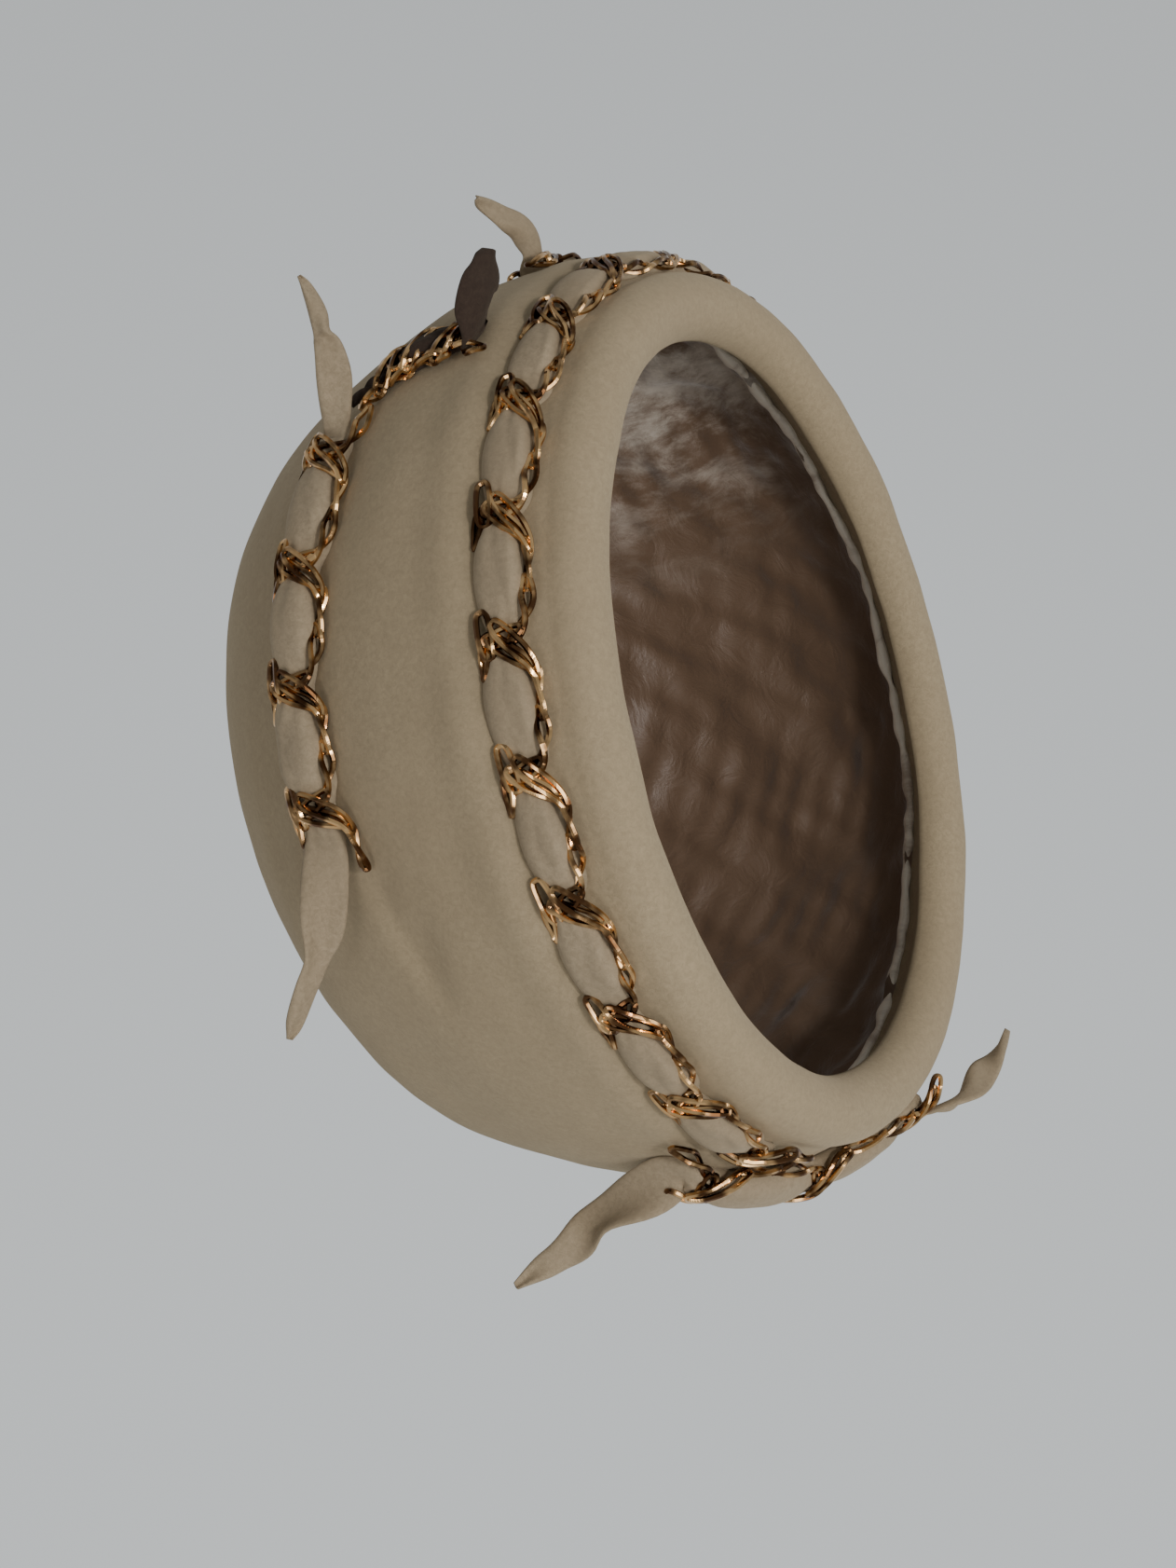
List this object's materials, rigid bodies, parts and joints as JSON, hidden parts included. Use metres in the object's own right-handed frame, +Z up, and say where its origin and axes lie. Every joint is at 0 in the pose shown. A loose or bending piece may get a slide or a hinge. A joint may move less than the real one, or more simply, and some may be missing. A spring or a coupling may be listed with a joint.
{
  "type": "turban",
  "caption": "Felt turban with a padded rolled rim, satin lining and felt strips bound with gold chain, their pointed ends standing free.",
  "frame": {"origin": "middle of the head opening, in the plane of the rim, where a head carries the hat", "axes": "+Z up through the crown as worn, -Y the front, -X the wearer's right"},
  "size_m": [0.2327, 0.2756, 0.1796],
  "materials": {
    "beige_felt": "matt wool felt",
    "strip_felt": "matt wool felt, softly napped",
    "taupe_felt": "matt dark taupe felt",
    "satin_lining": "loose crushed satin",
    "pale_satin": "satin fold",
    "gold_chain": "polished gold plate"
  },
  "bodies": {
    "root": {"crown": "beige_felt", "lining": "satin_lining", "lining_edge": "pale_satin", "rim_strip": "strip_felt", "rim_chain": "gold_chain", "nape_strip": "strip_felt", "nape_chain": "gold_chain", "right_strip": "strip_felt", "right_chain": "gold_chain", "left_strip": "strip_felt", "left_chain": "gold_chain", "front_strip": "taupe_felt", "front_chain": "gold_chain"}
  },
  "joints": []
}
